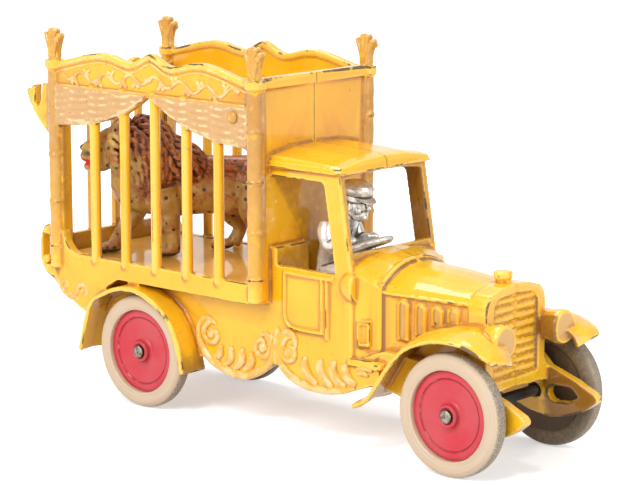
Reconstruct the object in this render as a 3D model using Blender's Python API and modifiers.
"""Cast iron toy circus truck with a caged lion, a driver and a drop-down tailgate.

The truck runs along X with its front at +X, its left side at +Y, and stands on Z = 0.
Two mirrored side castings meet on the plane Y = 0. Sizes are in metres.
"""
import math

import bmesh
import bpy
import numpy as np
from mathutils import Matrix, Vector

# Clearances
GAP = 0.0003            # between pieces that touch or run on each other
SEAM = 0.0003           # between the two side castings
WALL = 0.0026           # wall of the side castings
LAP = 0.0008            # how far shapes of one casting sink into each other

# Wheels and axles
WHEEL_RADIUS = 0.022
WHEEL_BASE = 0.1501
FRONT_AXLE_X = 0.09125
REAR_AXLE_X = FRONT_AXLE_X - WHEEL_BASE
AXLE_RADIUS = 0.002
AXLE_HOLE_RADIUS = 0.0025
DISC_RADIUS = 0.016
DISC_RECESS = 0.815     # share of the disc's radius that is sunk
TYRE_WIDTH = 0.0075
TYRE_FACETS = 30
DISC_WIDTH = 0.0055
HUB_RADIUS = 0.0043
RIVETED_HEAD = 0.0007

# Body below the cage and round the cab
BODY_HALF_WIDTH = 0.0245
TYRE_INNER_Y = BODY_HALF_WIDTH + GAP
BODY_BOTTOM = 0.0177
FLOOR_TOP = 0.0555
FLOOR_THICKNESS = 0.0027
CAB_REAR_X = 0.00265
CAB_ROOF_TOP = 0.0998
WINDOW_SILL = 0.0630
WINDOW_TOP = 0.0960
ROOF_THICKNESS = 0.0048
ROOF_OVERHANG = 0.0012
ROOF_FRONT_X = 0.0365
PILLAR_SLOPE = 0.165   # how far the windscreen leans back, in X for each Z
PILLAR_WIDTH = 0.0070
PILLAR_FOOT_X = 0.0420
COWL_X = 0.0445
BONNET_REAR_X = 0.0524
BONNET_FRONT_X = 0.0893
BONNET_REAR_HALF = 0.0200
BONNET_FRONT_HALF = 0.0170
BONNET_REAR_TOP = 0.0676
BONNET_FRONT_TOP = 0.0643
BONNET_SHOULDER = 0.0597
RADIATOR_DEPTH = 0.0077
RADIATOR_BOTTOM = 0.0278
RADIATOR_TOP = 0.0649
GRILLE_HALF = 0.0127
GRILLE_TOP = 0.0616
GRILLE_SINK = 0.0016
GRILLE_RIBS = 9
LAMP_RADIUS = 0.0064
LAMP_Y = 0.0174
LAMP_Z = 0.0475
LAMP_FRONT_X = 0.10565
LAMP_LENGTH = 0.0100
FRONT_FENDER_Y = TYRE_INNER_Y + TYRE_WIDTH + 0.0017
REAR_FENDER_Y = TYRE_INNER_Y + TYRE_WIDTH + 0.0029
ARCH_SCALE = WHEEL_RADIUS / 0.0220   # the rear arch keeps its air round the tyre
FENDER_THICKNESS = 0.0013
HORN_Y = BODY_HALF_WIDTH - 0.0055
HORN_WIDTH = 0.0040
HORN_TIP_X = 0.11835

# Cage
CAGE_Y = 0.0312         # centre of the posts and bars
POST_RADIUS = 0.00295
COLLAR_RADIUS = 0.0040
REAR_POST_X = -0.1037
FRONT_POST_X = 0.0015
POST_FACE_X = 0.0038     # flat front of the posts beside the cage's front wall
CREST_X = -0.0504       # peak of the header board
BAR_RADIUS = 0.0021
BAR_COUNT = 5
BAR_FIRST_X = -0.08205
BAR_PITCH = 0.01635
SILL_BOTTOM = 0.0485
SILL_TOP = 0.0562
SILL_OUTER_Y = 0.0320
SILL_WIDTH = 0.0038
HEADER_WIDTH = 0.0026
HEADER_BOTTOM = 0.1207
POST_TOP = 0.1310
FINIAL_TOP = 0.1435
FRONT_WALL_TOP = 0.1318
FRONT_WALL_WIDTH = 0.00265

# Tailgate and its pin
PIN_X = -0.1093
PIN_Z = 0.0520
PIN_RADIUS = 0.0018
PIN_END_Y = 0.0332
SLOT_TOP = 0.0620
LOOP_WALL = 0.0012
LOOP_WIDTH = 0.0045
GATE_X = -0.1032
GATE_THICKNESS = 0.0024
GATE_SIDE_AIR = 0.0011      # between the gate and the rear posts
GATE_HALF_WIDTH = CAGE_Y - POST_RADIUS - GATE_SIDE_AIR
GATE_BOTTOM = 0.0530
GATE_TOP = 0.1286
GATE_PANEL_TOP = 0.0620
GATE_WINDOW_TOP = 0.1184
GATE_WINDOW_FALL = 0.03
GATE_STILE = 0.0026
GATE_BAR_PITCH = GATE_HALF_WIDTH * 0.4887
GATE_STOP_LAP = 0.0009
GATE_STOP_THICKNESS = 0.0014
GATE_EAR_Y = GATE_HALF_WIDTH - 0.0046
GATE_EAR_WIDTH = 0.0030
GATE_EAR_RADIUS = 0.0045

# Rivets that hold the castings together
RIVET_RADIUS = 0.0015
RIVET_HEAD_RADIUS = 0.0025
RIVET_HEAD = 0.0010
CAGE_RIVET = (-0.00745, 0.1173)
BODY_RIVET = (0.0790, 0.0285)

# Lion, driver and steering wheel
LION_AT = (-0.0631, -0.0024)
LION_TURN = math.radians(226.0)
DRIVER_SEAT_TOP = 0.0550
STEERING_RADIUS = 0.0090
STEERING_RIM = 0.0012
HAND_RADIUS = 0.0024
STEERING_CENTRE = (0.0300, 0.0703)
STEERING_LEAN = math.radians(22.0)

# Maps a flat outline's own x and y to the truck's axes
FACING_SIDE = Matrix(((1, 0, 0, 0), (0, 0, -1, 0), (0, 1, 0, 0), (0, 0, 0, 1)))
FACING_FRONT = Matrix(((0, 0, 1, 0), (1, 0, 0, 0), (0, 1, 0, 0), (0, 0, 0, 1)))
FACING_UP = Matrix.Identity(4)


def new_collection(name):
    collection = bpy.data.collections.new(name)
    bpy.context.scene.collection.children.link(collection)
    return collection


def material(name, colour, roughness, metallic):
    """A Principled material with one colour."""
    made = bpy.data.materials.new(name)
    made.use_nodes = True
    shader = made.node_tree.nodes["Principled BSDF"]
    shader.inputs["Base Color"].default_value = (*colour, 1.0)
    shader.inputs["Roughness"].default_value = roughness
    shader.inputs["Metallic"].default_value = metallic
    return made


def mesh_object(name, mesh):
    thing = bpy.data.objects.new(name, mesh)
    bpy.context.scene.collection.objects.link(thing)
    return thing


def mesh_from_bmesh(name, shape):
    mesh = bpy.data.meshes.new(name)
    shape.to_mesh(mesh)
    shape.free()
    return mesh


def evaluated(thing):
    """Replace a curve or a modified object by its evaluated mesh in world space."""
    depsgraph = bpy.context.evaluated_depsgraph_get()
    mesh = bpy.data.meshes.new_from_object(thing.evaluated_get(depsgraph))
    mesh.transform(thing.matrix_world)
    name = thing.name
    bpy.data.objects.remove(thing)
    return mesh_object(name, mesh)


def welded(thing):
    """The evaluated mesh with its loose caps and poles merged and its faces pointing out."""
    solid = evaluated(thing)
    shape = bmesh.new()
    shape.from_mesh(solid.data)
    bmesh.ops.remove_doubles(shape, verts=shape.verts, dist=1e-6)
    bmesh.ops.recalc_face_normals(shape, faces=shape.faces)
    shape.to_mesh(solid.data)
    shape.free()
    return solid


def flat_plate(name, outline, low, high, facing=FACING_SIDE, holes=()):
    """A flat outline, with holes, extruded between two planes square to it."""
    curve = bpy.data.curves.new(name, "CURVE")
    curve.dimensions = "2D"
    curve.fill_mode = "BOTH"
    curve.extrude = abs(high - low) / 2
    for ring in (outline, *holes):
        spline = curve.splines.new("POLY")
        spline.points.add(len(ring) - 1)
        for point, (x, y) in zip(spline.points, ring):
            point.co = (x, y, 0.0, 1.0)
        spline.use_cyclic_u = True
    plate = mesh_object(name, curve)
    normal = facing.to_3x3() @ Vector((0.0, 0.0, 1.0))
    plate.matrix_world = Matrix.Translation(normal * sum(normal) * (low + high) / 2) @ facing
    return welded(plate)


def arc(centre, radius, start, end, steps):
    """Points on an arc, from one angle to another in degrees."""
    angles = np.radians(np.linspace(start, end, steps))
    return [(centre[0] + radius * math.cos(a), centre[1] + radius * math.sin(a)) for a in angles]


def circle(centre, radius, steps=16):
    return arc(centre, radius, 0.0, 360.0 * (steps - 1) / steps, steps)


def smooth_path(points, per_span):
    """Points on a Catmull-Rom curve through the given ones."""
    known = np.array(points, dtype=float)
    padded = np.vstack((2 * known[0] - known[1], known, 2 * known[-1] - known[-2]))
    spans = []
    for before, start, end, after in zip(padded, padded[1:], padded[2:], padded[3:]):
        t = np.linspace(0.0, 1.0, per_span, endpoint=False)[:, None]
        spans.append(0.5 * (2 * start + (end - before) * t
                            + (2 * before - 5 * start + 4 * end - after) * t ** 2
                            + (3 * start - before - 3 * end + after) * t ** 3))
    return [tuple(point) for point in np.vstack((*spans, known[-1:]))]


def loft(name, rings):
    """A closed skin through rings of equally many points, capped at both ends."""
    shape = bmesh.new()
    rows = [[shape.verts.new(point) for point in ring] for ring in rings]
    for low, high in zip(rows, rows[1:]):
        for i, vert in enumerate(low):
            j = (i + 1) % len(low)
            shape.faces.new((vert, low[j], high[j], high[i]))
    shape.faces.new(rows[0][::-1])
    shape.faces.new(rows[-1])
    shape.normal_update()
    bmesh.ops.triangulate(shape, faces=shape.faces)
    bmesh.ops.recalc_face_normals(shape, faces=shape.faces)
    return mesh_object(name, mesh_from_bmesh(name, shape))


def turned(name, profile, steps, axis="Z", at=(0.0, 0.0, 0.0)):
    """A (radius, height) profile, given top to bottom, spun round an axis through a point."""
    mesh = bpy.data.meshes.new(name)
    edges = [(i, i + 1) for i in range(len(profile) - 1)]
    mesh.from_pydata([(radius, 0.0, height) for radius, height in profile], edges, [])
    thing = mesh_object(name, mesh)
    screw = thing.modifiers.new("turn", "SCREW")
    screw.steps = screw.render_steps = steps
    screw.use_merge_vertices = True
    screw.merge_threshold = 0.000001
    turns = {"Z": Matrix.Identity(4),
             "Y": Matrix.Rotation(-math.pi / 2, 4, "X"),
             "X": Matrix.Rotation(math.pi / 2, 4, "Y")}
    thing.matrix_world = Matrix.Translation(at) @ turns[axis]
    return welded(thing)


def box(name, low, high):
    """A box between two corners."""
    shape = bmesh.new()
    bmesh.ops.create_cube(shape, size=1.0)
    size = [b - a for a, b in zip(low, high)]
    middle = [(a + b) / 2 for a, b in zip(low, high)]
    bmesh.ops.scale(shape, vec=size, verts=shape.verts)
    bmesh.ops.translate(shape, vec=middle, verts=shape.verts)
    return mesh_object(name, mesh_from_bmesh(name, shape))


def rod(name, start, end, radius, sides):
    """A straight round rod between two points."""
    shape = bmesh.new()
    span = Vector(end) - Vector(start)
    bmesh.ops.create_cone(shape, cap_ends=True, segments=sides, radius1=radius, radius2=radius,
                          depth=span.length)
    mesh = mesh_from_bmesh(name, shape)
    turn = Vector((0.0, 0.0, 1.0)).rotation_difference(span)
    mesh.transform(Matrix.Translation((Vector(start) + Vector(end)) / 2) @ turn.to_matrix().to_4x4())
    return mesh_object(name, mesh)


def blob(name, centre, radii, turn=None, rings=8, sides=12):
    """An ellipsoid, turned about its own centre."""
    shape = bmesh.new()
    bmesh.ops.create_uvsphere(shape, u_segments=sides, v_segments=rings, radius=1.0)
    place = Matrix.Translation(centre) @ (turn or Matrix.Identity(4)) @ Matrix.Diagonal((*radii, 1.0))
    bmesh.ops.transform(shape, matrix=place, verts=shape.verts)
    return mesh_object(name, mesh_from_bmesh(name, shape))


def joined(name, pieces, cuts=()):
    """One solid from many: pieces are united in turn, then the cuts are taken away."""
    base = pieces[0]
    base.name = name
    for operation, others in (("UNION", pieces[1:]), ("DIFFERENCE", cuts)):
        for other in others:
            modifier = base.modifiers.new(operation.lower(), "BOOLEAN")
            modifier.operation = operation
            modifier.solver = "EXACT"
            modifier.object = other
            base = evaluated(base)
            bpy.data.objects.remove(other)
    return base


def finish(thing, node, collection, paint, origin=(0.0, 0.0, 0.0), parent=None):
    """Name a solid for its node, paint it, and put its origin on its joint's axis."""
    thing.name = node
    thing.data.name = node
    thing.data.materials.clear()
    thing.data.materials.append(paint)
    thing.data.transform(Matrix.Translation([-value for value in origin]))
    thing.data.shade_smooth()
    thing.data.set_sharp_from_angle(angle=math.radians(32.0))
    for owner in list(thing.users_collection):
        owner.objects.unlink(thing)
    collection.objects.link(thing)
    thing.location = origin
    if parent is not None:
        thing.parent = parent
        thing.location = [a - b for a, b in zip(origin, parent.matrix_world.translation)]
    return thing


def side_wall():
    """The flat wall from the wheel arch to the cowl, with the cab's door and window."""
    low, high = BODY_HALF_WIDTH - WALL, BODY_HALF_WIDTH
    hanger = arc((REAR_AXLE_X, WHEEL_RADIUS), 0.0065, 190.0, 350.0, 7)
    scallops = smooth_path([(-0.0317, 0.0228), (-0.0236, 0.0195), (-0.0131, BODY_BOTTOM),
                            (-0.0031, 0.0206), (0.0059, 0.0263)], 3)[:-1]
    scallops += smooth_path([(0.0059, 0.0263), (0.0109, 0.0234), (0.0240, 0.0195),
                             (0.0388, 0.0207), (0.0500, 0.0242)], 3)
    pillar_foot = PILLAR_FOOT_X, WINDOW_SILL - 0.0003
    pillar_head = PILLAR_FOOT_X - (CAB_ROOF_TOP - pillar_foot[1]) * PILLAR_SLOPE, CAB_ROOF_TOP
    outline = [(-0.0930, SILL_BOTTOM + 0.002), (-0.0930, 0.0380), (-0.0790, 0.0300), *hanger,
               (-0.0420, 0.0240), *scallops, (0.0545, 0.0252), (0.0545, 0.0318), (0.0420, 0.0322),
               (0.0415, 0.0560), (0.0424, 0.0602), pillar_foot, pillar_head,
               (CAB_REAR_X - 0.0015, CAB_ROOF_TOP), (CAB_REAR_X - 0.0015, SILL_BOTTOM + 0.002)]
    lean = (WINDOW_TOP - WINDOW_SILL) * PILLAR_SLOPE
    window_front = pillar_foot[0] - PILLAR_WIDTH - 0.0009
    window = [(CAB_REAR_X + 0.0005, WINDOW_SILL), (window_front, WINDOW_SILL),
              (window_front - lean, WINDOW_TOP - 0.0012), (window_front - lean - 0.0012, WINDOW_TOP),
              (CAB_REAR_X - 0.0008, WINDOW_TOP), (CAB_REAR_X - 0.0008, WINDOW_SILL + 0.002)]
    axle_hole = circle((REAR_AXLE_X, WHEEL_RADIUS), AXLE_HOLE_RADIUS, 14)
    return flat_plate("side_wall", outline, low, high, holes=(window, axle_hole))


def door_panel():
    """The raised panel of the door, with a rounded lower rear corner."""
    outline = [(0.0100, 0.0597), *arc((0.0140, 0.0444), 0.0040, 180.0, 270.0, 4), (0.0285, 0.0404),
               (0.0285, 0.0612), (0.0100, 0.0612)]
    return flat_plate("door_panel", outline, BODY_HALF_WIDTH - LAP, BODY_HALF_WIDTH + 0.0006)


def cowl_trim():
    """The half round lamp and the vent block ahead of the door, and the ledge below them."""
    side = BODY_HALF_WIDTH
    lamp = blob("cowl_lamp", (0.0436, side - 0.0006, 0.0596), (0.0068, 0.0024, 0.0053), rings=7, sides=10)
    front = box("lamp_front", (0.0438, side - 0.0050, 0.0520), (0.0520, side + 0.0050, 0.0670))
    lamp = joined("cowl_lamp", [lamp], [front])
    block = [(0.0440, side - 0.0022), (0.0479, side - 0.0046), (0.0486, side - 0.0025), (0.0446, side)]
    vent = flat_plate("vent", block, 0.0381, 0.0476, facing=FACING_UP)
    step = box("step", (0.0405, side - 0.0046, 0.0311), (0.0560, side + 0.0006, 0.0331))
    return [lamp, vent, step]


def windscreen_frame():
    """The leaning frame in front of the driver: its top rail, its post and the dash below."""
    high = PILLAR_FOOT_X - (CAB_ROOF_TOP - WINDOW_SILL) * PILLAR_SLOPE - 0.0005
    low = high - WALL
    edge = BODY_HALF_WIDTH - 0.0004
    dash_top = 0.0707
    outline = [(-0.001, CAB_ROOF_TOP), (edge, CAB_ROOF_TOP), (edge, WINDOW_SILL - 0.004),
               (-0.001, WINDOW_SILL - 0.004), (-0.001, dash_top), (0.0218, dash_top),
               (0.0214, 0.0972), (0.0130, 0.0982), (-0.001, 0.0986)]
    frame = flat_plate("windscreen_frame", outline, low, high, facing=FACING_FRONT)
    lean = Matrix.Identity(4)
    lean[0][2] = -PILLAR_SLOPE
    lean[0][3] = PILLAR_SLOPE * CAB_ROOF_TOP
    frame.data.transform(lean)
    return frame


def roof():
    """The cab's roof: crowned across, lower at the front, with a rounded overhanging edge."""
    edge = BODY_HALF_WIDTH + ROOF_OVERHANG
    under = CAB_ROOF_TOP - 0.0004
    rings = []
    for x, rise, inset in ((CAB_REAR_X - LAP, 1.0, 0.0), (0.0120, 0.96, 0.0), (0.0240, 0.85, 0.0),
                           (ROOF_FRONT_X - 0.0035, 0.74, 0.0), (ROOF_FRONT_X, 0.6, 0.0004),
                           (ROOF_FRONT_X + 0.0012, 0.27, 0.0018)):
        high = ROOF_THICKNESS * rise
        top = under + high
        crown = 0.0018
        rings.append([(x, -0.001, under), (x, edge - inset, under), (x, edge - inset, under + high * 0.3),
                      (x, edge - inset - 0.0010, under + high * 0.85), (x, edge - 0.005, top),
                      (x, edge * 0.5, top + crown * 0.75), (x, -0.001, top + crown)])
    return loft("roof", rings)


def hood_ring(x, half, top, shoulder, bottom, lip=0.0003):
    """Half a hood's section at one X: crowned top, tight shoulder whose edge stands out by a lip, flat side
    and an even wall."""
    outer = []
    for share in (0.0, 0.3, 0.55, 0.76, 0.92):
        outer.append((x, half * share if share else -0.001, top - (top - shoulder) * share ** 2.2))
    outer += [(x, half, shoulder - 0.0010), (x, half - lip, shoulder - 0.0016), (x, half - lip, bottom)]
    inner_half = half - lip - WALL
    inner = [(x, inner_half, bottom), (x, inner_half, shoulder - WALL)]
    for share in (0.75, 0.45, 0.0):
        y = inner_half * share if share else -0.001
        inner.append((x, y, top - WALL - (top - shoulder) * share ** 2.2))
    return outer + inner


def hood():
    """Cowl and bonnet in one skin, from the windscreen's foot to the radiator. The cowl's side draws in from
    the door's width to the bonnet's, and a small step parts the two."""
    low = 0.0240
    side, narrow = BODY_HALF_WIDTH, BONNET_REAR_HALF
    cowl = [hood_ring(PILLAR_FOOT_X - 0.0030, side - 0.0003, 0.0709, 0.0672, low),
            hood_ring(COWL_X, side - 0.0007, 0.0703, 0.0650, low),
            hood_ring(COWL_X + 0.0020, side - 0.0016, 0.0698, 0.0635, low),
            hood_ring(COWL_X + 0.0040, narrow + 0.0017, 0.0693, 0.0621, low),
            hood_ring(COWL_X + 0.0060, narrow + 0.0009, 0.0688, 0.0610, low + 0.001),
            hood_ring(BONNET_REAR_X - 0.0003, narrow + 0.0006, 0.0684, 0.0604, low + 0.002)]
    middle = (BONNET_REAR_X + BONNET_FRONT_X) / 2
    middle_half = (narrow + BONNET_FRONT_HALF) / 2
    middle_top = (BONNET_REAR_TOP + BONNET_FRONT_TOP) / 2 + 0.0004
    front = BONNET_FRONT_X + LAP
    lip = 0.0005
    bonnet = [hood_ring(BONNET_REAR_X, narrow, BONNET_REAR_TOP - 0.0003, BONNET_SHOULDER, 0.0300, lip),
              hood_ring(middle, middle_half, middle_top, BONNET_SHOULDER, 0.0320, lip),
              hood_ring(front, BONNET_FRONT_HALF, BONNET_FRONT_TOP, BONNET_SHOULDER, 0.0320, lip)]
    return loft("hood", cowl + bonnet)


def louvres():
    """Four raised louvres on the bonnet's side, shorter towards the front."""
    made = []
    for x, low, high in ((0.0616, 0.0423, 0.0568), (0.0690, 0.0449, 0.0564),
                         (0.0760, 0.0492, 0.0563), (0.0827, 0.0512, 0.0566)):
        share = (x - BONNET_REAR_X) / (BONNET_FRONT_X - BONNET_REAR_X)
        face = BONNET_REAR_HALF + (BONNET_FRONT_HALF - BONNET_REAR_HALF) * share - 0.0005
        outline = [(x - 0.0024, low), (x + 0.0024, low), (x + 0.0024, high - 0.0012),
                   (x + 0.0010, high), (x - 0.0010, high), (x - 0.0024, high - 0.0012)]
        made.append(flat_plate("louvre", outline, face - LAP, face + 0.0009))
    return made


def radiator():
    """The radiator's shell with its sunk, ribbed grille and the filler cap."""
    back, front = BONNET_FRONT_X, BONNET_FRONT_X + RADIATOR_DEPTH
    half = BONNET_FRONT_HALF + 0.0003
    shell = [(-0.001, RADIATOR_BOTTOM), (half + 0.0022, RADIATOR_BOTTOM - 0.001), (half + 0.0028, 0.0318),
             (half, 0.0355), *arc((half - 0.0075, 0.0562), 0.0075, 0.0, 55.0, 4),
             (0.0080, RADIATOR_TOP - 0.0008), (-0.001, RADIATOR_TOP)]
    body = flat_plate("radiator", shell, back, front, facing=FACING_FRONT)
    grille = [(-0.002, 0.0312), (GRILLE_HALF, 0.0312),
              *arc((GRILLE_HALF - 0.005, 0.0562), 0.005, 0.0, 60.0, 4), (-0.002, GRILLE_TOP)]
    sink = flat_plate("grille_sink", grille, front - GRILLE_SINK, front + 0.002, facing=FACING_FRONT)
    body = joined("radiator", [body], [sink])
    ribs = []
    pitch = (GRILLE_TOP - 0.0330) / GRILLE_RIBS
    for number in range(GRILLE_RIBS):
        z = 0.0330 + pitch * number
        ribs.append(box("grille_rib", (front - GRILLE_SINK - LAP, -0.001, z),
                        (front - 0.0005, GRILLE_HALF - 0.0012, z + pitch * 0.42)))
    cap = turned("filler_cap", [(0.0, 0.0685), (0.0031, 0.0685), (0.0035, 0.0680), (0.0035, 0.0662),
                                (0.0028, 0.0655), (0.0028, 0.0630), (0.0, 0.0630)], 12, at=(0.0909, 0.0, 0.0))
    return [body, *ribs, cap]


def headlamp():
    """A headlamp bucket with a flat lens, its back sunk into the fender and the radiator."""
    front, back = LAMP_FRONT_X, LAMP_FRONT_X - LAMP_LENGTH
    r = LAMP_RADIUS
    profile = [(0.0, front), (r - 0.0007, front), (r, front - 0.0008), (r, front - 0.0026),
               (r - 0.0009, front - 0.0070), (r - 0.0030, back), (0.0, back - 0.0006)]
    return turned("headlamp", profile, 16, axis="X", at=(0.0, LAMP_Y, LAMP_Z))


def fender(name, stations, crown):
    """A fender's thin shell, swept over the wheel from its foot behind to its front end.

    Each station holds the outer edge's x and z, the inner edge's x, z and y, and the outer edge's y."""
    path = np.array(smooth_path(stations, 2))
    along = np.gradient(path[:, :2], axis=0)
    along /= np.linalg.norm(along, axis=1)[:, None]
    rings = []
    for (outer_x, outer_z, inner_x, inner_z, inner_y, outer_y), (dx, dz) in zip(path, along):
        out = np.array((-dz, 0.0, dx))
        inner = np.array((inner_x, inner_y, inner_z))
        outer = np.array((outer_x, outer_y, outer_z))
        top = [inner + (outer - inner) * share + out * crown * math.sin(math.pi * share)
               for share in (0.0, 0.45, 0.85)] + [outer - out * 0.0003]
        ring = top + [top[i] - out * FENDER_THICKNESS for i in (3, 1, 0)]
        rings.append([tuple(point) for point in ring])
    return loft(name, rings)


def front_fender():
    """The front fender, whose outer edge draws in to a pointed prow beyond the lamp."""
    wide = FRONT_FENDER_Y
    return fender("front_fender", [
        (0.0496, 0.0196, 0.0490, 0.0202, 0.0155, wide), (0.0561, 0.0227, 0.0556, 0.0238, 0.0155, wide),
        (0.0643, 0.0342, 0.0632, 0.0362, 0.0170, wide), (0.0719, 0.0427, 0.0708, 0.0454, 0.0175, wide),
        (0.0806, 0.0471, 0.0800, 0.0500, 0.0165, wide), (0.0892, 0.0490, 0.0892, 0.0515, 0.0155, wide),
        (0.0984, 0.0488, 0.0984, 0.0513, 0.0150, wide),
        (0.1045, 0.0470, 0.1040, 0.0481, 0.0165, wide - 0.0003),
        (0.1088, 0.0452, 0.1085, 0.0445, 0.0185, wide - 0.0014),
        (0.1107, 0.0430, 0.1100, 0.0405, 0.0190, wide - 0.0028)], 0.0012)


def rear_fender():
    foot_y = BODY_HALF_WIDTH - 0.0020
    edge = [(-0.03035, -0.0032), (-0.02495, 0.0145), (-0.01875, 0.0204), (-0.00605, 0.0250),
            (0.00585, 0.0237), (0.01715, 0.0172), (0.02305, 0.0078), (0.02635, -0.0045)]
    edge = [(REAR_AXLE_X + dx * ARCH_SCALE, WHEEL_RADIUS + dz * ARCH_SCALE) for dx, dz in edge]
    return fender("rear_fender", [(x, z, x, z, foot_y, REAR_FENDER_Y) for x, z in edge], 0.0006)


def frame_horn():
    """The chassis plate from the cowl to the horn in front, with the axle's hole and an eye."""
    low, high = HORN_Y, HORN_Y + HORN_WIDTH
    axle = FRONT_AXLE_X, WHEEL_RADIUS
    keel = smooth_path([(0.0700, 0.0215), (0.0820, 0.0165), (0.0976, 0.0130), (0.1110, 0.0165),
                        (0.1160, 0.0198)], 2)
    outline = [(0.0470, 0.0350), (0.0470, 0.0260), *keel, (HORN_TIP_X - 0.0004, 0.0213),
               (HORN_TIP_X, 0.0226), (HORN_TIP_X - 0.0012, 0.0242), (0.1085, 0.0281), (0.0969, 0.0319),
               (0.0930, 0.0360), (0.0560, 0.0380)]
    eye = [*arc((0.1000, 0.0222), 0.0030, 90.0, 270.0, 6),
           (0.1060, 0.0198), (0.1105, 0.0222), (0.1070, 0.0252)]
    axle_hole = circle(axle, AXLE_HOLE_RADIUS, 14)
    rivet_hole = circle(BODY_RIVET, RIVET_RADIUS + GAP, 10)
    return flat_plate("frame_horn", outline, low, high, holes=(axle_hole, rivet_hole, eye))


def post(x):
    """A turned bamboo-like corner post with swollen joints and a collar under its finial."""
    r = POST_RADIUS
    profile = [(0.0, POST_TOP), (COLLAR_RADIUS, POST_TOP), (COLLAR_RADIUS, POST_TOP - 0.0029),
               (r, POST_TOP - 0.0036)]
    for ring in (0.0940, 0.0755, 0.0580):
        profile += [(r, ring + 0.0012), (r + 0.0005, ring), (r, ring - 0.0012)]
    foot = SILL_BOTTOM + 0.0004
    profile += [(r, foot + 0.0010), (r - 0.0008, foot), (0.0, foot)]
    return turned("post", profile, 12, at=(x, CAGE_Y, 0.0))


def post_face():
    """The flat front of a front post, proud of the cage's front wall."""
    low = FRONT_POST_X, CAGE_Y - 0.0033, SILL_BOTTOM + 0.0015
    high = POST_FACE_X, CAGE_Y + 0.0017, POST_TOP - 0.0020
    return box("post_face", low, high)


def finial(x):
    """The fan-shaped leaf on top of a corner post."""
    half = [(0.0030, POST_TOP - LAP), (0.0026, 0.1345), (0.0030, 0.1380), (0.00415, 0.1415),
            (0.0032, 0.1428), (0.0017, 0.1424)]
    outline = half + [(0.0, FINIAL_TOP)] + [(-a, z) for a, z in half[::-1]]
    return flat_plate("finial", [(x + a, z) for a, z in outline], CAGE_Y - 0.0022, CAGE_Y + 0.0022)


def bar(x):
    """A cage bar with a rounded foot on the sill."""
    r, foot = BAR_RADIUS, SILL_BOTTOM + 0.0042
    head = HEADER_BOTTOM + 2 * LAP
    profile = [(0.0, head), (r, head), (r, foot + r), (r * 0.7, foot + 0.0006), (0.0, foot)]
    return turned("bar", profile, 8, at=(x, CAGE_Y, 0.0))


def crest_line(drop):
    """The header's scalloped top edge, from the rear post to the front one, lowered by a drop."""
    waves = [(0.0270, 0.1354), (0.0111, 0.1328), (0.0022, 0.1362)]
    rear = smooth_path([(CREST_X - REAR_POST_X - 0.0020, 0.1301), *waves], 3)
    front = smooth_path([(FRONT_POST_X - CREST_X - 0.0020, 0.1301), *waves], 3)
    line = [(CREST_X - a, z) for a, z in rear]
    line += [(CREST_X, 0.1370)]
    line += [(CREST_X + a, z) for a, z in front[::-1]]
    return [(x, z - drop) for x, z in line]


def header():
    """The scalloped header board, its raised top moulding and the two curtain swags below."""
    low, high = CAGE_Y - HEADER_WIDTH / 2, CAGE_Y + HEADER_WIDTH / 2
    middle = (REAR_POST_X + FRONT_POST_X) / 2
    reach = (FRONT_POST_X - REAR_POST_X) / 2 - 0.0015
    base = HEADER_BOTTOM - 0.0004
    sheet = [(middle + reach, base), (middle - reach, base), *crest_line(0.0)]
    board = flat_plate("header", sheet, low, high)
    edging = crest_line(-0.0002) + crest_line(0.0019)[::-1]
    band = flat_plate("header_band", edging, low - 0.0006, high + 0.0006)
    made = [board, band]
    for side in (-1.0, 1.0):
        swag = smooth_path([(reach, 0.1059), (0.0360, 0.1070), (0.0225, 0.1099), (0.0120, 0.1138),
                            (0.0030, 0.1192)], 2)
        half = [(0.0019, HEADER_BOTTOM + LAP), (reach, HEADER_BOTTOM + LAP), *swag]
        outline = [(middle + side * a, z) for a, z in half]
        made.append(flat_plate("curtain", outline, low - 0.0004, high + 0.0007))
    x, z = CAGE_RIVET
    cut = rod("rivet_hole", (x, low - 0.01, z), (x, high + 0.01, z), RIVET_RADIUS + GAP, 10)
    return joined("header", made, [cut])


def sill_and_skirt():
    """The rail under the bars with its rear corner brace, and the skirt that hangs behind."""
    low, high = SILL_OUTER_Y - SILL_WIDTH, SILL_OUTER_Y
    front = FRONT_POST_X + 0.0015
    brace = smooth_path([(-0.0920, SILL_TOP - 0.0006), (-0.0955, 0.0568), (-0.0985, 0.0600),
                         (-0.0996, 0.0640)], 2)
    outline = [(front, SILL_BOTTOM), (front, SILL_TOP), *brace, (-0.1060, 0.0655), (-0.1080, 0.0560),
               (-0.1100, 0.0468), (-0.1066, 0.0445), (-0.1008, 0.0403), (-0.0935, 0.0358),
               (-0.0885, 0.0335), (-0.0830, 0.0380), (-0.0760, 0.0450), (-0.0700, SILL_BOTTOM)]
    return flat_plate("sill", outline, low, high)


def tailgate_loop():
    """The slotted loop behind the rear post that the tailgate's pin lies in."""
    outer_x = PIN_X - PIN_RADIUS - GAP - LOOP_WALL
    low = SILL_OUTER_Y + 0.0008 - LOOP_WIDTH
    above = smooth_path([(-0.1066, 0.0663), (-0.1092, 0.0655), (-0.1114, 0.0630), (outer_x, 0.0590)], 2)
    below = smooth_path([(outer_x, 0.0525), (-0.1119, 0.0498), (-0.1095, 0.0466), (-0.1060, 0.0450)], 2)
    outline = [(-0.1050, 0.0663), *above, *below, (-0.1040, 0.0450)]
    return flat_plate("tailgate_loop", outline, low, low + LOOP_WIDTH)


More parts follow.
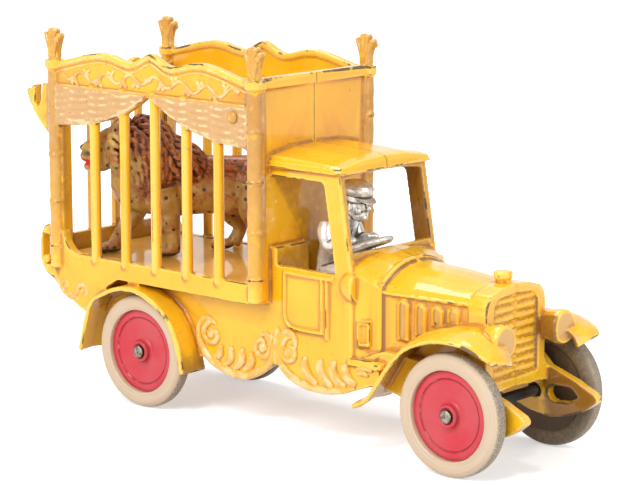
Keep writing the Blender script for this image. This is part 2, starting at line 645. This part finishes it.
def pin_slot():
    """The upright slot that the tailgate's pin drops into, cut through loop and skirt."""
    reach, front = PIN_RADIUS + GAP, REAR_POST_X - POST_RADIUS - 0.0003
    slot = [(front, SLOT_TOP - 0.0010), (front - 0.0005, SLOT_TOP),
            *arc((PIN_X, SLOT_TOP - reach), reach, 90.0, 180.0, 4),
            *arc((PIN_X, PIN_Z), reach, 180.0, 270.0, 4), (front, PIN_Z - reach)]
    return flat_plate("pin_slot", slot, BODY_HALF_WIDTH, PIN_END_Y + 0.002)


def latch_hook():
    """The open hook behind the top of the rear post."""
    outline = [(-0.1050, 0.1010), (-0.1080, 0.1035), (-0.1118, 0.1070), (-0.1150, 0.1110), (-0.1172, 0.1150),
               (-0.11835, 0.1180), (-0.1176, 0.1188), (-0.1160, 0.1190), (-0.1147, 0.1204), (-0.1131, 0.1208),
               (-0.1134, 0.1170), (-0.1137, 0.1135), (-0.1127, 0.1120), (-0.1113, 0.1128), (-0.1100, 0.1165),
               (-0.1092, 0.1215), (-0.1050, 0.1215)]
    return flat_plate("latch_hook", outline, CAGE_Y - 0.0018, CAGE_Y + 0.0018)


def inner_works():
    """What the castings hold inside: floor ledge, gate stop, cage front, cornice and seat."""
    floor_low = FLOOR_TOP - FLOOR_THICKNESS
    ledge = box("ledge", (GATE_X + GATE_THICKNESS / 2 + GAP, BODY_HALF_WIDTH - WALL, SILL_BOTTOM),
                (CAB_REAR_X - 0.001, SILL_OUTER_Y - SILL_WIDTH + LAP, floor_low - GAP))
    stop_x = GATE_X + GATE_THICKNESS / 2 + GAP
    stop = box("gate_stop", (stop_x, GATE_HALF_WIDTH - GATE_STOP_LAP, SILL_BOTTOM + 0.0005),
               (stop_x + GATE_STOP_THICKNESS, SILL_OUTER_Y - 0.0010, 0.1255))
    wall_low, wall_high = CAB_REAR_X - FRONT_WALL_WIDTH, CAB_REAR_X
    edge, head = CAGE_Y - 0.0020, FRONT_WALL_TOP - 0.001
    outline = [(-0.001, SILL_BOTTOM), (edge, SILL_BOTTOM), (edge, head), (-0.001, head)]
    wall = flat_plate("cage_front", outline, wall_low, wall_high, facing=FACING_FRONT)
    cornice = box("cornice", (wall_low - 0.0002, -0.001, 0.1278),
                  (wall_high + 0.0013, edge - 0.0004, FRONT_WALL_TOP))
    seat = box("seat", (wall_high - LAP, -0.001, DRIVER_SEAT_TOP - 0.0030),
               (0.0200, BODY_HALF_WIDTH - WALL + LAP, DRIVER_SEAT_TOP))
    return [ledge, stop, wall, cornice, seat]


def side_casting():
    """The left side casting, at +Y. Everything that crosses the middle is cut back to the seam."""
    pieces = [side_wall(), sill_and_skirt(), *inner_works(), rear_fender(), hood(), windscreen_frame(),
              roof(), door_panel(), *cowl_trim(), frame_horn(), *radiator(), front_fender(), headlamp(),
              *louvres(), tailgate_loop(), latch_hook(), header()]
    for x in (REAR_POST_X, FRONT_POST_X):
        pieces += [post(x), finial(x)]
    pieces.append(post_face())
    pieces += [bar(BAR_FIRST_X + BAR_PITCH * number) for number in range(BAR_COUNT)]
    beyond = box("beyond_seam", (-0.2, -0.05, -0.05), (0.2, SEAM / 2, 0.2))
    return joined("side_casting", pieces, [beyond, pin_slot()])


def mirrored(name, thing):
    """The same casting for the other side of the truck."""
    mesh = thing.data.copy()
    mesh.transform(Matrix.Diagonal((1.0, -1.0, 1.0, 1.0)))
    mesh.flip_normals()
    return mesh_object(name, mesh)


def cage_floor():
    half = SILL_OUTER_Y - SILL_WIDTH - GAP
    rear = GATE_X + GATE_THICKNESS / 2 + GAP + GATE_STOP_THICKNESS + GAP
    return box("cage_floor", (rear, -half, FLOOR_TOP - FLOOR_THICKNESS),
               (CAB_REAR_X - FRONT_WALL_WIDTH - GAP, half, FLOOR_TOP))


def tailgate():
    """The barred rear gate: stiles, bars, panel, scalloped crest and two ears round the pin."""
    low, high = GATE_X - GATE_THICKNESS / 2, GATE_X + GATE_THICKNESS / 2
    half, stile = GATE_HALF_WIDTH, GATE_STILE
    crest = smooth_path([(half, GATE_TOP - 0.0045), (half * 0.677, GATE_TOP - 0.0030),
                         (half * 0.451, GATE_TOP), (half * 0.226, GATE_TOP - 0.0020),
                         (0.0, GATE_TOP - 0.0002)], 3)
    crest += [(-y, z) for y, z in crest[-2::-1]]
    outline = [(-half, GATE_BOTTOM), (half, GATE_BOTTOM), *crest]
    gap_edges = [-half + stile, -GATE_BAR_PITCH, 0.0, GATE_BAR_PITCH, half - stile]
    bar_half = 0.0014
    windows = []
    for number, (left, right) in enumerate(zip(gap_edges, gap_edges[1:])):
        y0 = left + (bar_half if number > 0 else 0.0)
        y1 = right - (bar_half if number < 3 else 0.0)
        top0 = GATE_WINDOW_TOP - abs(y0) * GATE_WINDOW_FALL
        top1 = GATE_WINDOW_TOP - abs(y1) * GATE_WINDOW_FALL
        windows.append([(y0, GATE_PANEL_TOP), (y1, GATE_PANEL_TOP), (y1, top1), (y0, top0)])
    panel = flat_plate("tailgate", outline, low, high, facing=FACING_FRONT, holes=windows)
    ears = []
    for side in (-1, 1):
        ends = sorted((side * GATE_EAR_Y, side * (GATE_EAR_Y + GATE_EAR_WIDTH)))
        eye = arc((PIN_X, PIN_Z), GATE_EAR_RADIUS, 75.0, 270.0, 9)
        arm = [(high - LAP, GATE_BOTTOM + 0.0010), (high - LAP, GATE_BOTTOM + 0.0045)]
        hole = circle((PIN_X, PIN_Z), PIN_RADIUS + GAP, 14)
        ears.append(flat_plate("ear", eye + arm, *ends, holes=(hole,)))
    return joined("tailgate", [panel, *ears])


def tailgate_pin():
    end = PIN_END_Y
    r = PIN_RADIUS
    return turned("tailgate_pin", [(0.0, end), (r - 0.0005, end), (r, end - 0.0005), (r, -end + 0.0005),
                                   (r - 0.0005, -end), (0.0, -end)], 14, axis="Y", at=(PIN_X, 0.0, PIN_Z))


def through_rivet(name, place, seat_y):
    """A rivet through both castings, with a domed head beyond each outer face."""
    head, r = seat_y + GAP, RIVET_HEAD_RADIUS
    dome = [(0.0, head + RIVET_HEAD), (r * 0.62, head + RIVET_HEAD * 0.78), (r, head)]
    profile = dome + [(RIVET_RADIUS, head), (RIVET_RADIUS, -head)] + [(a, -y) for a, y in dome[::-1]]
    return turned(name, profile, 10, axis="Y", at=(place[0], 0.0, place[1]))


def axle(name, x):
    """A round axle with its ends riveted over beyond the hubs."""
    hub_face = TYRE_INNER_Y + TYRE_WIDTH - 0.0002
    end = hub_face + GAP + RIVETED_HEAD
    cap = [(0.0, end), (AXLE_RADIUS, end - 0.0002), (AXLE_RADIUS + 0.0006, end - RIVETED_HEAD),
           (AXLE_RADIUS, end - RIVETED_HEAD)]
    profile = cap + [(a, -y) for a, y in cap[::-1]]
    return turned(name, profile, 14, axis="Y", at=(x, 0.0, WHEEL_RADIUS))


def wheel_disc(name, x, side):
    """A dished iron disc with a sunk face, a raised hub and the groove for its tyre."""
    face = TYRE_INNER_Y + TYRE_WIDTH - 0.0015
    back = face - DISC_WIDTH
    hub_face = TYRE_INNER_Y + TYRE_WIDTH - 0.0002
    sunk = DISC_RADIUS * DISC_RECESS
    bore = AXLE_RADIUS + GAP
    profile = [(bore, hub_face), (HUB_RADIUS - 0.0008, hub_face), (HUB_RADIUS, face - 0.0010),
               (sunk, face - 0.0014), (sunk + 0.0006, face), (DISC_RADIUS, face - 0.0003),
               (DISC_RADIUS, back + 0.0003), (sunk, back), (sunk - 0.0006, back + 0.0014),
               (HUB_RADIUS, back + 0.0014), (HUB_RADIUS - 0.0004, TYRE_INNER_Y), (bore, TYRE_INNER_Y),
               (bore, hub_face)]
    return flipped_side(turned(name, profile, 22, axis="Y", at=(x, 0.0, WHEEL_RADIUS)), side)


def tyre(name, x, side):
    """A white rubber ring with rounded shoulders, whose flat tread facets stand on Z = 0."""
    inner, outer = DISC_RADIUS + GAP, WHEEL_RADIUS / math.cos(math.pi / TYRE_FACETS)
    low, high = TYRE_INNER_Y, TYRE_INNER_Y + TYRE_WIDTH
    tread = TYRE_WIDTH * 0.22
    middle = (low + high) / 2
    profile = [(inner, high - 0.0008), (outer - 0.0024, high), (outer - 0.0006, high - 0.0013),
               (outer, middle + tread), (outer, middle - tread), (outer - 0.0006, low + 0.0013),
               (outer - 0.0024, low), (inner, low + 0.0008), (inner, high - 0.0008)]
    return flipped_side(turned(name, profile, TYRE_FACETS, axis="Y", at=(x, 0.0, WHEEL_RADIUS)), side)


def flipped_side(thing, side):
    """Mirror a left-hand solid to the right when side is -1."""
    if side < 0:
        thing.data.transform(Matrix.Diagonal((1.0, -1.0, 1.0, 1.0)))
        thing.data.flip_normals()
    return thing


def limb(name, stations, sides=8):
    """A rounded limb through stations of (x, y, z, half length along x, half width along y)."""
    rings = []
    for x, y, z, along, across in stations:
        angles = np.linspace(0.0, 2 * math.pi, sides, endpoint=False)
        rings.append([(x + along * math.cos(a), y + across * math.sin(a), z) for a in angles])
    return loft(name, rings)


def lion():
    """A standing lion, modelled head to +X on z = 0, then turned and stood on the cage's floor."""
    trunk_stations = [(-0.0360, 0.0300, 0.0030, 0.0050), (-0.0320, 0.0285, 0.0062, 0.0092),
                      (-0.0220, 0.0265, 0.0078, 0.0118), (-0.0080, 0.0270, 0.0070, 0.0116),
                      (0.0060, 0.0275, 0.0082, 0.0128), (0.0180, 0.0290, 0.0080, 0.0120),
                      (0.0265, 0.0300, 0.0045, 0.0070)]
    trunk = loft("lion", [[(x, wide * math.sin(a), z + tall * math.cos(a))
                           for a in np.linspace(0.0, 2 * math.pi, 12, endpoint=False)]
                          for x, z, wide, tall in trunk_stations])
    mane = blob("mane", (0.0135, 0.0, 0.0370), (0.0120, 0.0112, 0.0172),
                Matrix.Rotation(math.radians(14.0), 4, "Y"))
    head_turn = Matrix.Rotation(math.radians(-27.0), 4, "Z")
    neck_at = Vector((0.0230, 0.0, 0.0))
    head = []
    for name, at, radii in (("skull", (0.0050, 0.0, 0.0420), (0.0085, 0.0066, 0.0072)),
                            ("muzzle", (0.0135, 0.0, 0.0385), (0.0062, 0.0044, 0.0044)),
                            ("jaw", (0.0100, 0.0, 0.0335), (0.0066, 0.0038, 0.0026))):
        head.append(blob(name, neck_at + head_turn @ Vector(at), radii, head_turn, rings=7, sides=10))
    legs = []
    for x, y, top_x in ((0.0265, -0.0035, 0.0160), (0.0040, 0.0066, 0.0055),
                        (-0.0160, -0.0070, -0.0215), (-0.0325, 0.0060, -0.0265)):
        paw = x + 0.0022
        knee = (x + top_x) / 2
        legs.append(limb("leg", [
            (paw, y, 0.0, 0.0047, 0.0036), (paw, y, 0.0028, 0.0044, 0.0034),
            (x, y, 0.0058, 0.0028, 0.0026), (knee, y, 0.0115, 0.0032, 0.0029),
            (top_x, y * 0.9, 0.0180, 0.0045, 0.0038), (top_x, y * 0.6, 0.0260, 0.0060, 0.0038)]))
    tail = bpy.data.curves.new("tail", "CURVE")
    tail.dimensions = "3D"
    tail.bevel_depth = 0.0016
    tail.bevel_resolution = 1
    tail.use_fill_caps = True
    spline = tail.splines.new("POLY")
    drop = smooth_path([(-0.0330, 0.0, 0.0330), (-0.0372, 0.0, 0.0290), (-0.0380, 0.0010, 0.0200),
                        (-0.0365, 0.0020, 0.0110)], 3)
    spline.points.add(len(drop) - 1)
    for point, place in zip(spline.points, drop):
        point.co = (*place, 1.0)
    body = joined("lion", [trunk, mane, *head, *legs, welded(mesh_object("tail", tail))])
    place = Matrix.Translation((LION_AT[0], LION_AT[1], FLOOR_TOP + GAP))
    body.data.transform(place @ Matrix.Rotation(LION_TURN, 4, "Z"))
    return body


def driver():
    """A seated driver in a peaked cap, one arm forward to the wheel."""
    base = DRIVER_SEAT_TOP + GAP
    turns = np.linspace(0.0, 2 * math.pi, 12, endpoint=False)
    sections = ((0.0110, base, 0.0062, 0.0075), (0.0120, 0.0640, 0.0054, 0.0072),
                (0.0145, 0.0730, 0.0056, 0.0082), (0.0165, 0.0785, 0.0046, 0.0070),
                (0.0190, 0.0805, 0.0030, 0.0030))
    torso = loft("driver", [[(x + deep * math.cos(a), wide * math.sin(a), z) for a in turns]
                            for x, z, deep, wide in sections])
    neck = rod("neck", (0.0185, 0.0, 0.0770), (0.0230, 0.0, 0.0840), 0.0026, 10)
    head = blob("head", (0.0240, 0.0, 0.0840), (0.0048, 0.0042, 0.0064))
    tilt = Matrix.Rotation(math.radians(10.0), 4, "Y")
    droop = Matrix.Rotation(math.radians(30.0), 4, "Y")
    cap = blob("cap", (0.0238, 0.0, 0.0900), (0.0060, 0.0058, 0.0038), tilt)
    peak = blob("peak", (0.0282, 0.0, 0.0868), (0.0040, 0.0042, 0.0009), droop, rings=6, sides=10)
    made = [torso, neck, head, cap, peak]
    lean = Matrix.Rotation(-STEERING_LEAN, 4, "Y")
    centre = Vector((STEERING_CENTRE[0], 0.0, STEERING_CENTRE[1]))
    grip = STEERING_RADIUS * 0.88
    lift = STEERING_RIM + HAND_RADIUS + GAP
    for side in (-1, 1):
        turn = side * math.radians(130.0)
        elbow = (0.0180, side * 0.0085, 0.0690)
        hand = tuple(centre + lean @ Vector((grip * math.cos(turn), grip * math.sin(turn), lift)))
        made += [rod("upper_arm", (0.0150, side * 0.0072, 0.0765), elbow, 0.0026, 7),
                 blob("elbow", elbow, (0.0027, 0.0027, 0.0027), rings=5, sides=7),
                 rod("forearm", elbow, hand, HAND_RADIUS - 0.0002, 7),
                 blob("hand", hand, (HAND_RADIUS, HAND_RADIUS, HAND_RADIUS), rings=6, sides=8)]
    return joined("driver", made)


def steering_wheel():
    """The steering wheel with its thick rim, spoked dish and stub column, under the driver's hands."""
    x, z = STEERING_CENTRE
    r, rim = STEERING_RADIUS, STEERING_RIM
    profile = [(0.0, rim - 0.0004), (r * 0.22, rim - 0.0004), (r * 0.30, 0.0003), (r * 0.76, 0.0003),
               (r * 0.88, rim), (r, rim * 0.35), (r, -rim * 0.4), (r * 0.88, -rim), (r * 0.30, -0.0009),
               (0.0016, -0.0014), (0.0016, -0.0075), (0.0, -0.0075)]
    wheel = turned("steering_wheel", profile, 20)
    lean = Matrix.Rotation(-STEERING_LEAN, 4, "Y")
    wheel.data.transform(Matrix.Translation((x, 0.0, z)) @ lean)
    return wheel


def main():
    for thing in list(bpy.data.objects):
        bpy.data.objects.remove(thing)
    truck = new_collection("Circus truck")
    enamel = material("Yellow enamel", (0.94, 0.55, 0.06), 0.35, 0.0)
    red = material("Red disc paint", (0.60, 0.03, 0.06), 0.4, 0.0)
    rubber = material("White rubber", (0.75, 0.66, 0.52), 0.8, 0.0)
    steel = material("Axle steel", (0.35, 0.33, 0.30), 0.45, 1.0)
    nickel = material("Nickel plate", (0.66, 0.64, 0.60), 0.3, 1.0)
    lion_paint = material("Lion paint", (0.72, 0.44, 0.18), 0.5, 0.0)

    left = side_casting()
    right = mirrored("right_body_half", left)
    finish(left, "left_body_half", truck, enamel)
    finish(right, "right_body_half", truck, enamel)
    finish(cage_floor(), "cage_floor", truck, enamel)
    pin_place = (PIN_X, 0.0, PIN_Z)
    pin = finish(tailgate_pin(), "tailgate_pin", truck, enamel, pin_place)
    bpy.context.view_layer.update()
    finish(tailgate(), "tailgate", truck, enamel, pin_place, pin)
    header_face = CAGE_Y + HEADER_WIDTH / 2 + 0.0007
    finish(through_rivet("cage_rivet", CAGE_RIVET, header_face), "cage_rivet", truck, enamel)
    finish(through_rivet("body_rivet", BODY_RIVET, HORN_Y + HORN_WIDTH), "body_rivet", truck, steel)
    finish(lion(), "lion", truck, lion_paint)
    finish(driver(), "driver", truck, nickel)
    finish(steering_wheel(), "steering_wheel", truck, nickel)
    for end, x in (("front", FRONT_AXLE_X), ("rear", REAR_AXLE_X)):
        place = (x, 0.0, WHEEL_RADIUS)
        rod_piece = finish(axle(f"{end}_axle", x), f"{end}_axle", truck, steel, place)
        bpy.context.view_layer.update()
        for side_name, side in (("left", 1), ("right", -1)):
            node = f"{end}_{side_name}"
            disc = finish(wheel_disc(node, x, side), f"{node}_wheel", truck, red, place, rod_piece)
            finish(tyre(node, x, side), f"{node}_tyre", truck, rubber, place, rod_piece)


main()
